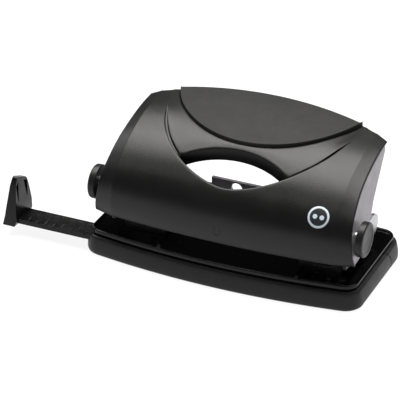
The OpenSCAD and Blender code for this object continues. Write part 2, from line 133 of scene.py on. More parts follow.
# ---------------------------------------------------------------- materials
def surface(name, color, rough, metallic=0.0, spec=0.5, grain=0.35, grain_mm=0.35, tone=0.12, tone_mm=14.0,
            rough_var=0.08, scratch=0.0, stretch=(1, 1, 1), wear=0.0, wear_color=None, fleck=0.0):
    """Principled surface with fine grain bump, slow tone changes, gloss changes and faint scuffs."""
    m = bpy.data.materials.new(name)
    m.use_nodes = True
    nt = m.node_tree
    nt.nodes.clear()
    out = nt.nodes.new("ShaderNodeOutputMaterial")
    bsdf = nt.nodes.new("ShaderNodeBsdfPrincipled")
    nt.links.new(bsdf.outputs["BSDF"], out.inputs["Surface"])
    bsdf.inputs["Metallic"].default_value = metallic
    bsdf.inputs["Specular IOR Level"].default_value = spec
    coord = nt.nodes.new("ShaderNodeTexCoord")
    mapping = nt.nodes.new("ShaderNodeMapping")
    mapping.inputs["Scale"].default_value = stretch
    nt.links.new(coord.outputs["Object"], mapping.inputs["Vector"])

    def noise(size_mm, detail, roughness=0.55, source=mapping):
        n = nt.nodes.new("ShaderNodeTexNoise")
        n.inputs["Scale"].default_value = 1000.0 / size_mm
        n.inputs["Detail"].default_value = detail
        n.inputs["Roughness"].default_value = roughness
        nt.links.new(source.outputs["Vector"], n.inputs["Vector"])
        return n

    def span(source, lo, hi, a, b):
        r = nt.nodes.new("ShaderNodeMapRange")
        r.inputs["From Min"].default_value = lo
        r.inputs["From Max"].default_value = hi
        r.inputs["To Min"].default_value = a
        r.inputs["To Max"].default_value = b
        nt.links.new(source, r.inputs["Value"])
        return r.outputs["Result"]

    slow = noise(tone_mm, 3)
    ramp = nt.nodes.new("ShaderNodeMix")
    ramp.data_type = "RGBA"
    lo = [c * (1 - tone) for c in color] + [1]
    hi = [min(1, c * (1 + tone)) for c in color] + [1]
    ramp.inputs["A"].default_value = lo
    ramp.inputs["B"].default_value = hi
    nt.links.new(span(slow.outputs["Fac"], 0.3, 0.7, 0, 1), ramp.inputs["Factor"])
    color_out = ramp.outputs["Result"]
    if fleck:
        spots = noise(grain_mm * 1.4, 2, 0.7)
        mix = nt.nodes.new("ShaderNodeMix")
        mix.data_type = "RGBA"
        mix.inputs["B"].default_value = [min(1, c * 1.9 + 0.01) for c in color] + [1]
        nt.links.new(color_out, mix.inputs["A"])
        nt.links.new(span(spots.outputs["Fac"], 0.52, 0.75, 0, fleck), mix.inputs["Factor"])
        color_out = mix.outputs["Result"]
    if wear:
        patches = noise(5.0, 6, 0.7)
        mix = nt.nodes.new("ShaderNodeMix")
        mix.data_type = "RGBA"
        mix.inputs["B"].default_value = list(wear_color or [min(1, c * 1.6) for c in color]) + [1]
        nt.links.new(color_out, mix.inputs["A"])
        nt.links.new(span(patches.outputs["Fac"], 0.56, 0.72, 0, wear), mix.inputs["Factor"])
        color_out = mix.outputs["Result"]
    nt.links.new(color_out, bsdf.inputs["Base Color"])

    cloud = noise(tone_mm * 0.45, 4)
    smoothest, roughest = max(0.02, rough - rough_var), min(1, rough + rough_var)
    rough_out = span(cloud.outputs["Fac"], 0.3, 0.7, smoothest, roughest)
    if scratch:
        lines = nt.nodes.new("ShaderNodeMapping")
        lines.inputs["Rotation"].default_value = (0.2, 0.1, 0.5)
        lines.inputs["Scale"].default_value = (0.04, 1.6, 1.0)
        nt.links.new(coord.outputs["Object"], lines.inputs["Vector"])
        fine = noise(0.5, 2, 0.6, lines)
        add = nt.nodes.new("ShaderNodeMath")
        add.operation = "ADD"
        add.use_clamp = True
        nt.links.new(rough_out, add.inputs[0])
        nt.links.new(span(fine.outputs["Fac"], 0.62, 0.72, 0, scratch), add.inputs[1])
        rough_out = add.outputs[0]
    nt.links.new(rough_out, bsdf.inputs["Roughness"])

    if grain:
        fine = noise(grain_mm, 3, 0.6)
        bump = nt.nodes.new("ShaderNodeBump")
        bump.inputs["Strength"].default_value = grain
        bump.inputs["Distance"].default_value = grain_mm * 0.25 * MM
        nt.links.new(fine.outputs["Fac"], bump.inputs["Height"])
        nt.links.new(bump.outputs["Normal"], bsdf.inputs["Normal"])
    return m


HOOD = surface("hood_satin_charcoal", (0.0048, 0.0048, 0.0049), 0.33, spec=0.30, grain=0.5, grain_mm=0.45,
               tone=0.15, tone_mm=22, rough_var=0.03, fleck=0.12)
PAD = surface("grip_soft_matte", (0.0105, 0.0105, 0.0106), 0.62, spec=0.26, grain=0.8, grain_mm=0.32,
              tone=0.10, tone_mm=12, rough_var=0.04, fleck=0.25)
PLATE = surface("plate_black_enamel", (0.0007, 0.0007, 0.0008), 0.10, spec=0.24,
                grain=0.12, grain_mm=1.6, tone=0.2, tone_mm=9, rough_var=0.03, scratch=0.12)
TRAY = surface("tray_satin_plastic", (0.007, 0.007, 0.0073), 0.42, spec=0.26, grain=0.4, grain_mm=0.5,
               tone=0.12, tone_mm=18, rough_var=0.05, scratch=0.08, fleck=0.1)
CAP = surface("cap_satin_plastic", (0.008, 0.008, 0.008), 0.38, spec=0.26, grain=0.35, grain_mm=0.4,
              tone=0.12, tone_mm=6, rough_var=0.05, fleck=0.1)
GUIDE = surface("guide_black_plastic", (0.0025, 0.0025, 0.0026), 0.30, spec=0.22, grain=0.35, grain_mm=0.45,
                tone=0.15, tone_mm=10, rough_var=0.06, scratch=0.08)
LEVER = surface("lever_grey_coated_sheet", (0.30, 0.29, 0.315), 0.42, metallic=0.35, spec=0.5, grain=0.3,
                grain_mm=0.6, tone=0.08, tone_mm=9, rough_var=0.06, scratch=0.12, wear=0.15)
STEEL = surface("zinc_plated_sheet", (0.50, 0.50, 0.52), 0.34, metallic=1.0, grain=0.3, grain_mm=0.5,
                tone=0.10, tone_mm=5, rough_var=0.08, scratch=0.15, wear=0.3, wear_color=(0.62, 0.60, 0.55))
ROD = surface("ground_steel_rod", (0.56, 0.56, 0.58), 0.24, metallic=1.0, grain=0.35, grain_mm=0.5,
              tone=0.08, tone_mm=4, rough_var=0.06, stretch=(6, 1, 1))
PUNCH = surface("hardened_punch_steel", (0.60, 0.60, 0.62), 0.20, metallic=1.0, grain=0.3, grain_mm=0.5,
                tone=0.08, tone_mm=4, rough_var=0.06, stretch=(1, 1, 6))
DIE = surface("die_steel", (0.36, 0.36, 0.38), 0.30, metallic=1.0, grain=0.4, grain_mm=0.4,
              tone=0.1, tone_mm=4, rough_var=0.06)
SPRING = surface("spring_wire", (0.52, 0.52, 0.54), 0.26, metallic=1.0, grain=0.3, grain_mm=0.3,
                 tone=0.1, tone_mm=3, rough_var=0.06)


def badge_material(centre, dots, ring_r, dot_r):
    """Dark print with a pale ring and two pale dots, laid out in the object's own coordinates."""
    m = surface("badge_dark_print", (0.014, 0.016, 0.018), 0.40, spec=0.4, grain=0.3, grain_mm=0.3,
                tone=0.1, tone_mm=3, rough_var=0.05)
    nt = m.node_tree
    bsdf = next(n for n in nt.nodes if n.type == "BSDF_PRINCIPLED")
    base = bsdf.inputs["Base Color"].links[0].from_socket
    coord = next(n for n in nt.nodes if n.type == "TEX_COORD")
    blur = 0.04

    def within(point, r):
        """1 nearer to the point than r mm, 0 further away."""
        d = nt.nodes.new("ShaderNodeVectorMath")
        d.operation = "DISTANCE"
        d.inputs[1].default_value = [c * MM for c in point]
        nt.links.new(coord.outputs["Object"], d.inputs[0])
        step = nt.nodes.new("ShaderNodeMapRange")
        step.inputs["From Min"].default_value = (r - blur) * MM
        step.inputs["From Max"].default_value = (r + blur) * MM
        step.inputs["To Min"].default_value = 1.0
        step.inputs["To Max"].default_value = 0.0
        nt.links.new(d.outputs["Value"], step.inputs["Value"])
        return step.outputs["Result"]

    def combine(operation, a, b):
        n = nt.nodes.new("ShaderNodeMath")
        n.operation = operation
        nt.links.new(a, n.inputs[0])
        nt.links.new(b, n.inputs[1])
        return n.outputs[0]

    total = combine("SUBTRACT", within(centre, ring_r[1]), within(centre, ring_r[0]))
    for point in dots:
        total = combine("MAXIMUM", total, within(point, dot_r))
    mix = nt.nodes.new("ShaderNodeMix")
    mix.data_type = "RGBA"
    mix.inputs["B"].default_value = (0.50, 0.57, 0.62, 1)
    nt.links.new(base, mix.inputs["A"])
    nt.links.new(total, mix.inputs["Factor"])
    nt.links.new(mix.outputs["Result"], bsdf.inputs["Base Color"])
    return m


# ---------------------------------------------------------------- hood surface
# half length to the crease; reach of the end face at height END_Z and its lean; the run that column numbers
# make from the crease to the end face
HALF, END0, END_Z, LEAN, END_RUN = 50.8, 60.2, 20.5, math.tan(math.radians(7.5)), 8.8
# rise of the middle, drop across the end bevel, sag of the rear shoulders
CROWN, DROP, SAG = 2.5, 2.4, 1.2
# height of the lower edge; the rear edge seen from above: its furthest y and radius, and its ends' reach
HOOD_LOW, REAR_Y, REAR_R, REAR_RUN = 20.0, 33.6, 165.0, 4.0
WALL = 2.4
# the side profile's arcs: centre (y, z), radius, first and last angle
SIDE_ARCS = [((-7.94, 27.29), 19.68, 232, 127.05), ((12.07, 8.46), 46.93, 132.0, 107.5),
             ((37.92, -75.74), 135.07, 105.3, 88.0)]
STEP = 0.25


def arc_points(c, r, a0, a1):
    n = max(2, int(abs(a1 - a0) * math.pi / 180 * r / STEP))
    a = np.radians(np.linspace(a0, a1, n))
    return np.stack([c[0] + r * np.cos(a), c[1] + r * np.sin(a)], 1)


def side_profile():
    """Arc lengths, points (y, z) and outward normals of the side profile, its arcs blended by smoothing."""
    reach, spread, pull = 30, 10.0, 3.1
    raw = np.vstack([arc_points(*arc) for arc in SIDE_ARCS])
    run = np.r_[0, np.cumsum(np.hypot(*np.diff(raw, axis=0).T))]
    s = np.arange(0, run[-1], STEP)
    p = np.stack([np.interp(s, run, raw[:, axis]) for axis in (0, 1)], 1)
    k = np.exp(-0.5 * (np.arange(-reach, reach + 1) / spread) ** 2)
    k /= k.sum()
    q = p.copy()
    for axis in (0, 1):
        q[reach:-reach, axis] = np.convolve(p[:, axis], k, "valid")
    # the smoothing pulls the curve in by about half the squared width times the curvature
    t = np.gradient(q, axis=0)
    t /= np.hypot(*t.T)[:, None]
    nrm = np.stack([-t[:, 1], t[:, 0]], 1)
    bend = np.gradient(np.unwrap(np.arctan2(t[:, 1], t[:, 0]))) / STEP
    inside = slice(reach + 10, -reach - 10)
    q[inside] += (nrm * np.abs(bend)[:, None] * pull)[inside]
    kept = slice(reach + 2, -reach - 2)
    return np.arange(len(q[kept])) * STEP, q[kept], nrm[kept]


ARC, SIDE, NORMAL = side_profile()
NOSE = int(np.argmin(SIDE[:, 0]))


def ease(v):
    """Smooth rise from 0 to 1 as v goes from 0 to 1."""
    v = np.clip(v, 0, 1)
    return v * v * (3 - 2 * v)


def crown(x):
    x = np.abs(x)
    return np.where(x <= HALF, CROWN * (1 - (x / HALF) ** 2), 0.0)


def depth(xh, y0, o, flat=False):
    """Offset from the side profile: crown, drop across the end bevel and, unless flat, the rear sag."""
    t = np.clip((np.abs(xh) - HALF) / END_RUN, 0, 1)
    d = crown(xh) - DROP * (1 - 0.3 * ease((y0 - 2) / 16)) * t + o
    if not flat:
        d = d - SAG * ease((y0 - 4) / 22) * ease((np.abs(xh) - 22) / 22)
    return d


def at(xh, s, o, flat=False):
    """Point of the hood; beyond the crease xh runs on to the leaning end face, END_RUN further out."""
    xh, s, o = np.broadcast_arrays(np.asarray(xh, float), np.asarray(s, float), np.asarray(o, float))
    y0 = np.interp(s, ARC, SIDE[:, 0])
    d = depth(xh, y0, o, flat)
    y = y0 + np.interp(s, ARC, NORMAL[:, 0]) * d
    z = np.interp(s, ARC, SIDE[:, 1]) + np.interp(s, ARC, NORMAL[:, 1]) * d
    t = np.clip((np.abs(xh) - HALF) / END_RUN, 0, None)
    x = np.where(t > 0, np.sign(xh) * (HALF + t * (END0 - LEAN * (z - END_Z) - HALF)), xh)
    return np.stack([x, y, z], -1)


def s_at_y(xh, y, o, flat=False):
    """Arc length where the hood, moved out by o, reaches y above the nose."""
    line = (SIDE[:, 0] + NORMAL[:, 0] * depth(xh, SIDE[:, 0], o, flat))[NOSE:]
    return float(np.interp(y, line, ARC[NOSE:]))


def s_at_z(xh, z, o):
    """Arc length where the hood, moved out by o, reaches z below the nose."""
    line = (SIDE[:, 1] + NORMAL[:, 1] * depth(xh, SIDE[:, 0], o))[:NOSE + 40]
    return float(np.interp(z, line, ARC[:NOSE + 40]))


def plan_point(x, y, o, sign, flat=False):
    """Point of the hood's top given from above, on the right (sign 1) or mirrored (sign -1)."""
    return at(sign * x, s_at_y(x, y, o, flat), o, flat)


def rear(x):
    return REAR_Y - REAR_R + math.sqrt(REAR_R ** 2 - x * x)


def actual_x(xh):
    """Where column xh meets the rear edge."""
    return min(abs(xh), HALF) + max(0.0, abs(xh) - HALF) / END_RUN * REAR_RUN


# ---------------------------------------------------------------- borders on the hood, seen from above
# circles about the middle plane: the smile (front shell's border), the lens opening's rear border, the pad
SMILE_Y, SMILE_R, LENS_Y, LENS_R, PAD_Y, PAD_R = 21.3, 43.2, -53.8, 48.1, 42.3, 45.3
LENS_TIP = (25.8, -13.35)
N_LENS, N_SMILE = 18, 30


def smile_point(a):
    """The border of the front shell: a circle, a little pointed in front, flaring out at the rear."""
    x = (SMILE_R + 2.3 * ease((math.degrees(a) + 16.5) / 24.5)) * math.cos(a)
    return x, SMILE_Y + SMILE_R * math.sin(a) - 0.7 * math.exp(-(x / 9.0) ** 2)


def pad_point(a):
    return PAD_R * math.cos(a), PAD_Y + PAD_R * math.sin(a)


def meets_rear(curve, a0, a1):
    """Angle at which a border reaches the rear edge."""
    angles = np.radians(np.linspace(a0, a1, 3000))
    return min(angles, key=lambda a: abs(curve(a)[1] - rear(curve(a)[0])))


def along(curve, angles):
    """Points of a border, the first one exactly on the middle plane."""
    points = [curve(a) for a in angles]
    return [(0.0, points[0][1])] + points[1:]


phi_end = meets_rear(smile_point, -30, 40)
psi_end = meets_rear(pad_point, -60, 0) - 0.0005
phi_tip = math.atan2(LENS_TIP[1] - SMILE_Y, LENS_TIP[0])
phis = list(np.linspace(-math.pi / 2, phi_tip, N_LENS))
phis += list(np.linspace(phi_tip, phi_end, N_SMILE + 1)[1:])
# columns are numbered outward from the middle; J_TIP is at the lens tip, J_SMILE at the smile's rear end
J_TIP, J_SMILE = N_LENS - 1, len(phis) - 1
smile = along(smile_point, phis)
crescent_low = [(x, LENS_Y + math.sqrt(LENS_R ** 2 - x * x)) for x, y in smile[:J_TIP]] + smile[J_TIP:]
run = np.r_[0, np.cumsum([math.dist(crescent_low[i], crescent_low[i + 1]) for i in range(J_SMILE)])]
share = run / run[-1]
psis = -math.pi / 2 + share * (psi_end + math.pi / 2)
pad_edge = along(pad_point, psis)
# beyond the smile come plain columns to the crease, then columns across the end bevel with its rounded edge
beyond = list(np.linspace(smile[-1][0] + 1.3, HALF - 0.35, 5)) + [HALF]
ends = [HALF + END_RUN * t for t in (0.045, 0.18, 0.36, 0.54, 0.72, 0.86, 0.93, 0.965, 0.988, 1.0)]
end_drop = [0, 0, 0, 0, 0, 0, 0, -0.03, -0.12, -0.32]
J_ALL = J_SMILE + len(beyond) + len(ends)


def slot_at(j):
    """Share of the dark slot between front shell and crescent at column j: full at the lens, none behind."""
    return 1.0 if j <= J_TIP else 1.0 - ease((smile[min(j, J_SMILE)][1] + 2.0) / 16.0)


def slot_floor(j):
    return -2.0 * slot_at(j) ** 0.5


def crescent_level(j, v):
    """Offset of the crescent at column j, from its lower border (v 0) to the pad (v 1)."""
    x, y = smile[j]
    lower = -0.9 - 0.5 * min(1.0, (x / LENS_TIP[0]) ** 2)
    if j > J_TIP:
        lower = -1.4 * (1 - ease((y + 13.4) / 24.0))
    upper = -0.6 * (1 - 0.85 * ease(share[j] * 1.6 - 0.6))
    return lower + (upper - lower) * ease(v * 1.3)


# ---------------------------------------------------------------- columns of the hood
# rounded edges as (distance from the border, offset): hem, shell's border, then the crescent's borders at
# lens, slot and pad
HEM = [(0.0, -0.38), (0.10, -0.16), (0.28, -0.04), (0.55, 0.0)]
SHELL_EDGE = [(2.45, 0.0), (2.40, 0.0), (1.1, 0.0), (0.62, -0.04), (0.32, -0.14), (0.12, -0.32),
              (0.02, -0.55), (0.0, -0.7)]
LENS_EDGE = [(0.0, -0.62), (0.08, -0.34), (0.26, -0.12), (0.6, 0.0), (1.8, 0.0), (1.86, 0.0)]
SLOT_EDGE = [(0.0, -1.5), (0.93, -1.5), (1.0, -0.5), (1.12, -0.12), (1.3, -0.03), (1.5, 0.0)]
PAD_SIDE = [(0.34, 0.0), (0.15, -0.05), (0.05, -0.18), (0.0, -0.4)]
# the rear edge behind the pad's pocket: distance, outside offset, inside offset
REAR_EDGE = [(2.45, -1.4, -2.6), (2.4, -1.4, -4.0), (1.28, -1.4, -4.0), (1.2, -1.0, -4.0),
             (1.05, -0.72, -4.0), (0.5, -0.7, -4.0), (0.2, -0.8, -4.0), (0.05, -1.0, -4.0),
             (0.0, -1.3, -4.0)]
SHELL_MID, CRESCENT_MID, POCKET_MID = 44, 12, 5
SHELL_ROWS = len(HEM) + SHELL_MID + len(SHELL_EDGE)
CRESCENT_ROWS = len(LENS_EDGE) + CRESCENT_MID + len(PAD_SIDE)
POCKET_ROWS = 2 + POCKET_MID + len(REAR_EDGE)
POCKET = -1.4


def between(a, b, n):
    """n values evenly between a and b, both left out."""
    return [a + (b - a) * (i + 1) / (n + 1) for i in range(n)]


def column(j):
    """(lower x, upper x, upper y, extra drop of the outside) of column j on the right."""
    low_end = 45.6
    if j <= J_SMILE:
        x_top, y_top = smile[j]
        x_low = low_end * (share[j] * 0.25 + 0.75 * x_top / smile[-1][0]) if j else 0.0
        return x_low, x_top, y_top, 0.0
    k = j - J_SMILE - 1
    if k < len(beyond):
        return low_end + (HALF - low_end) * (k + 1) / len(beyond), beyond[k], rear(beyond[k]), 0.0
    k -= len(beyond)
    return ends[k], ends[k], rear(actual_x(ends[k])), end_drop[k]


def inner_place(xh, j):
    """Where the inside lies for an outside column, and its offset if not the usual one: the inside stops
    short of the end to seat the lever's cheek."""
    t = (xh - HALF) / END_RUN
    if j <= J_SMILE + len(beyond):
        return xh, None
    if t > 0.999:
        return xh, -0.7
    if t > 0.98:
        return HALF + END_RUN * 0.645, -0.72
    return HALF + END_RUN * 0.64 * (t / 0.965), None


def shell_column(j, sign):
    """Outside and inside points of a column of the front shell, bottom to top."""
    x_low, x_top, y_top, drop = column(j)
    s_low = s_at_z(x_low, HOOD_LOW, 0.0)
    length = s_at_y(x_top, y_top, 0.0) - s_low
    lip = 2.7 + 1.4 * ease((j - J_SMILE) / 3.0)
    edge = slot_at(j) if j <= J_SMILE else ease((j - J_SMILE) / 2.0)
    rows = [(d, o, WALL) for d, o in HEM]
    rows += [(u, 0.0, WALL) for u in between(HEM[-1][0], length - SHELL_EDGE[0][0], SHELL_MID)]
    rows += [(length - d, o * edge, lip if d <= 2.4 else WALL) for d, o in SHELL_EDGE]
    if J_TIP <= j <= J_SMILE:
        rows[-1] = (length, slot_floor(j), lip)
    out, ins = [], []
    for u, o, wall in rows:
        w = u / length
        x = x_low + (x_top - x_low) * w
        out.append(at(sign * x, s_low + u, o + drop))
        xi, deep = inner_place(x, j)
        if deep is None:
            deep = -wall
        s0, s1 = s_at_z(xi, HOOD_LOW, deep), s_at_y(xi, y_top, deep)
        ins.append(at(sign * xi, s0 + (s1 - s0) * w, deep))
    return out, ins


def crescent_column(j, sign):
    """From the lens or the slot up to the pad."""
    (x0, y0), (x1, y1) = crescent_low[j], pad_edge[j]
    length = math.dist((x0, y0), (x1, y1))
    squeeze = min(1.0, length / 6.0)
    slot = slot_at(j)
    wide = 1.45 * slot ** 0.4 + 0.02
    if j < J_TIP:
        spots = [(d * squeeze, o) for d, o in LENS_EDGE]
    else:
        spots = [(d * wide, o * slot) for d, o in SLOT_EDGE]
    spots += [(u, 0.0) for u in between(spots[-1][0], length - PAD_SIDE[0][0] * squeeze, CRESCENT_MID)]
    spots += [(length - d * squeeze, o) for d, o in PAD_SIDE]
    out, ins = [], []
    for k, (u, o) in enumerate(spots):
        x, y = x0 + (x1 - x0) * u / length, y0 + (y1 - y0) * u / length
        level = crescent_level(j, u / length) + o
        if j >= J_TIP and k < 2:
            level = slot_floor(j)
        # the opening's rim reaches further down than the wall
        deep = -6.2 if j < J_TIP and k < len(LENS_EDGE) - 1 else -2.7 - 1.2 * slot
        out.append(plan_point(x, y, level, sign))
        ins.append(plan_point(x, y, deep, sign))
    return out, ins


def pocket_column(j, sign):
    """From the pad's border to the rear edge; the first row repeats the crescent's last."""
    x, y = pad_edge[j]
    length = max(0.04, rear(x) - y)
    k = min(1.0, length / 4.0)
    rim = crescent_level(j, 1.0)
    start, top = 0.06 * k, length - REAR_EDGE[0][0] * k
    spots = [(0.0, -1.2, -2.6), (start, POCKET, -2.6)]
    spots += [(u, POCKET, -2.6) for u in between(start, top, POCKET_MID)]
    spots += [(length - d * k, o if d > 1.25 else o + 0.7 + rim, w) for d, o, w in REAR_EDGE]
    out = [plan_point(x, y + u, o, sign) for u, o, w in spots]
    ins = [plan_point(x, y + u, w, sign) for u, o, w in spots]
    return out, ins


def thicken(outer, inner, faces):
    """Closed shell: the outer faces, the same faces reversed on the inner points, and a border strip."""
    n = len(outer)
    edges = {}
    for f in faces:
        for pair in zip(f, f[1:] + f[:1]):
            edges[pair] = True
    every = faces + [[v + n for v in reversed(f)] for f in faces]
    every += [[b, a, a + n, b + n] for a, b in edges if (b, a) not in edges]
    every = [[v for i, v in enumerate(f) if v != f[i - 1]] for f in every]
    return outer + inner, [f for f in every if len(set(f)) >= 3]


def build_hood():
    """Front shell, crescent and pad pocket as one sheet of columns, thickened."""
    outer, inner, index = [], [], {}

    def put(key, points, shared=None):
        """Adds a column's points; its first may be one that another column holds already."""
        for r, (o, i) in enumerate(zip(*points)):
            if r == 0 and shared is not None:
                index[(*key, 0)] = index[shared]
                continue
            index[(*key, r)] = len(outer)
            outer.append(o)
            inner.append(i)

    for c in range(-J_ALL, J_ALL + 1):
        j, sign = abs(c), (-1 if c < 0 else 1)
        put(("shell", c), shell_column(j, sign))
        if j <= J_SMILE:
            border = ("shell", c, SHELL_ROWS - 1) if j >= J_TIP else None
            put(("crescent", c), crescent_column(j, sign), border)
            put(("pocket", c), pocket_column(j, sign), ("crescent", c, CRESCENT_ROWS - 1))
    faces = []
    for c in range(-J_ALL, J_ALL):
        kinds = [("shell", SHELL_ROWS)]
        if -J_SMILE <= c < J_SMILE:
            kinds += [("crescent", CRESCENT_ROWS), ("pocket", POCKET_ROWS)]
        for kind, n in kinds:
            for r in range(n - 1):
                corners = ((c, r), (c + 1, r), (c + 1, r + 1), (c, r + 1))
                faces.append([index[(kind, *corner)] for corner in corners])
    return thicken(outer, inner, faces)


PAD_FILLET = [(0.0, -0.62), (0.02, -0.22), (0.07, -0.09), (0.17, -0.03), (0.32, -0.01), (0.6, 0.0)]
PAD_MID = 16
PAD_GAP, PAD_REAR_GAP = 0.22, 1.3
PAD_TOP, PAD_UNDERSIDE = 0.78, -1.28


def build_pad():
    """The pad that fills the pocket, with rounded edges in front and behind."""
    outer, inner = [], []
    rows = 2 * len(PAD_FILLET) + PAD_MID
    for c in range(-J_SMILE, J_SMILE + 1):
        j, sign = abs(c), (-1 if c < 0 else 1)
        radius = PAD_R - PAD_GAP
        x, y = radius * math.cos(psis[j]) if j else 0.0, PAD_Y + radius * math.sin(psis[j])
        length = max(0.3, rear(x) - PAD_REAR_GAP - y)
        k = min(1.0, length / 2.4)
        spots = [(d * k, o) for d, o in PAD_FILLET]
        reach = PAD_FILLET[-1][0] * k
        spots += [(u, 0.0) for u in between(reach, length - reach, PAD_MID)]
        spots += [(length - d * k, o) for d, o in reversed(PAD_FILLET)]
        for u, o in spots:
            outer.append(plan_point(x, y + u, PAD_TOP + o, sign, True))
            inner.append(plan_point(x, y + u, PAD_UNDERSIDE, sign))
    faces = []
    for c in range(2 * J_SMILE):
        for r in range(rows - 1):
            a = c * rows + r
            faces.append([a, a + rows, a + rows + 1, a + 1])
    return thicken(outer, inner, faces)


mesh_piece("hood_shell", *build_hood(), HOOD, "handle", "hood_plastic", ["handle_cover"], angle=34)
mesh_piece("grip_pad_inlay", *build_pad(), PAD, "handle", "pad_rubber", ["grip_pad"], angle=50)


# ---------------------------------------------------------------- small parts of the hood
def boss(name, x):
    """A hollow screw boss under the hood, along Y."""
    z, tip, root, bore_r, boss_r = 33.0, -26.0, -8.85, 1.12, 2.6
    profile = [(bore_r, tip), (bore_r, root), (2.4, root), (boss_r, root - 0.25), (boss_r, tip)]
    loops = [np.insert(np.array(circle_points(x, z, r, 28)), 1, y, axis=1) for r, y in profile]
    verts, faces = rings(loops + loops[:1], closed_ends=False)
    return mesh_piece(name, verts, faces, HOOD, "handle", "hood_plastic")


boss("hood_screw_boss_left", -24.0)
boss("hood_screw_boss_right", 24.0)


def disc_patch(name, xc, sc, r_out, lift, rise, material, nodes, slot, n=48, hole=0.0):
    """A thin disc or ring that hugs the hood: rise is its thickness, lift what is left of it at the rim."""
    start = max(hole, 0.001)
    radii = [start] + list(np.linspace(start, r_out, 7)[1:-1]) + [r_out - 0.12, r_out]
    a = np.linspace(0, 2 * math.pi, n, endpoint=False)
    loops = []
    for k, r in enumerate(radii):
        height = lift if k == len(radii) - 1 or (hole and k == 0) else rise
        loops.append(at(xc + r * np.cos(a), sc + r * np.sin(a), height))
    loops += [at(xc + r * np.cos(a), sc + r * np.sin(a), -0.03) for r in reversed(radii)]
    if hole:
        loops.append(loops[0])
    verts, faces = rings(loops, closed_ends=not hole)
    return mesh_piece(name, verts, faces, material, "handle", slot, nodes, angle=60)


BADGE_X, BADGE_R = 43.5, 4.6
badge_s = s_at_y(BADGE_X, -23.6, 0.0)
badge_centre = at(BADGE_X, badge_s, 0.12)
badge_dots = [at(BADGE_X + dx, badge_s, 0.12) for dx in (-1.5, 1.5)]
BADGE = badge_material(badge_centre, badge_dots, (3.75, 5.5), 1.0)
disc_patch("badge_disc", BADGE_X, badge_s, BADGE_R, 0.02, 0.13, BADGE, ["badge"], "badge_print", n=64)
mark_s = s_at_z(0.0, 26.0, 0.0)
disc_patch("hood_mould_mark", 0.0, mark_s, 1.75, 0.0, 0.12, HOOD, [], "hood_plastic", n=40, hole=1.15)


# ---------------------------------------------------------------- base
# plan of the plate: half length to the corners' centres, depth, corner radius, bow of front and rear edges
PLAN_HALF, PLAN_DEPTH, CORNER, FRONT_BOW, REAR_BOW = 54.0, 53.0, 6.0, 4.5, 1.2
# the plan is then stretched along X and moved
LONG, SHIFT = 1.032, -0.7
PUNCH_X, PUNCH_Y, DIE_HOLE_R = 40.0, 1.0, 5.03
SEAM_GAP = 0.28


def bowed(bow):
    """Radius of a bowed edge's outer line, and half the angle that it spans."""
    r = (PLAN_HALF ** 2 + bow * bow) / (2 * bow) + CORNER
    return r, math.degrees(math.asin(PLAN_HALF / (r - CORNER)))


def ring_at(i, z):
    """Outline of the base moved inward by i, at height z."""
    (front_r, front_a), (rear_r, rear_a) = bowed(FRONT_BOW), bowed(REAR_BOW)
    front_c, rear_c = -PLAN_DEPTH / 2 - FRONT_BOW + front_r, PLAN_DEPTH / 2 + REAR_BOW - rear_r
    front_y = front_c - (front_r - CORNER) * math.cos(math.radians(front_a))
    rear_y = rear_c + (rear_r - CORNER) * math.cos(math.radians(rear_a))
    # centre, radius, first and last angle, number of points
    arcs = [(0, front_c, front_r - i, 270 - front_a, 270 + front_a, 28),
            (PLAN_HALF, front_y, CORNER - i, 270 + front_a, 360, 12),
            (PLAN_HALF, rear_y, CORNER - i, 0, 90 - rear_a, 12),
            (0, rear_c, rear_r - i, 90 - rear_a, 90 + rear_a, 20),
            (-PLAN_HALF, rear_y, CORNER - i, 90 + rear_a, 180, 12),
            (-PLAN_HALF, front_y, CORNER - i, 180, 270 - front_a, 12)]
    points = []
    for x, y, r, a0, a1, n in arcs:
        for k in range(n):
            a = math.radians(a0 + (a1 - a0) * k / n)
            points.append(((x + r * math.cos(a)) * LONG + SHIFT, y + r * math.sin(a), z))
    return np.array(points)


# profiles as (distance inward from the plan, height)
plate_profile = [(2.6, 9.4), (1.9, 9.4), (1.75, 9.35), (0.35, 9.3), (0.1, 9.4), (0.0, 9.7), (0.0, 11.0),
                 (0.07, 11.25), (0.24, 11.43), (0.45, 11.5), (0.85, 11.5), (1.05, 11.44), (1.2, 11.28),
                 (1.3, 11.0), (1.38, 10.72), (1.5, 10.56), (1.75, 10.5), (3.4, 10.5)]
tray_profile = [(-0.9, 0.0), (-1.5, 0.12), (-1.95, 0.5), (-2.2, 1.1), (-2.3, 2.0), (-2.2, 4.0),
                (-1.9, 6.2), (-1.55, 7.8), (-1.35, 8.35), (-1.1, 8.62), (-0.75, 8.7), (0.75, 8.7),
                (0.9, 8.75), (0.9, 9.22), (0.98, 9.3), (2.32, 9.3), (2.4, 9.22), (2.4, 7.7),
                (-0.55, 7.7), (-0.5, 3.0), (-0.1, 1.8), (0.7, 1.4), (3.0, 1.4)]

verts, faces = rings([ring_at(i, z) for i, z in plate_profile])
plate = mesh_piece("base_plate_enamel", verts, faces, PLATE, "base", "plate_gloss", ["base_plate"])
for side in (-1, 1):
    hole = circle_points(side * PUNCH_X, PUNCH_Y, DIE_HOLE_R)
    boolean(plate, prism("cut", hole, "z", 8, 13), "DIFFERENCE")
smooth(plate, 30)


def seam_curve(shift):
    """The split between tray and skirt, seen from the end: upright below, sweeping forward at the top."""
    seam = [(13.3, -1.0), (13.3, 3.6), (13.1, 5.0), (12.5, 6.4),
            (11.6, 7.6), (10.6, 8.7), (10.0, 9.8), (9.6, 12.0)]
    return [(y + shift, z) for y, z in seam]


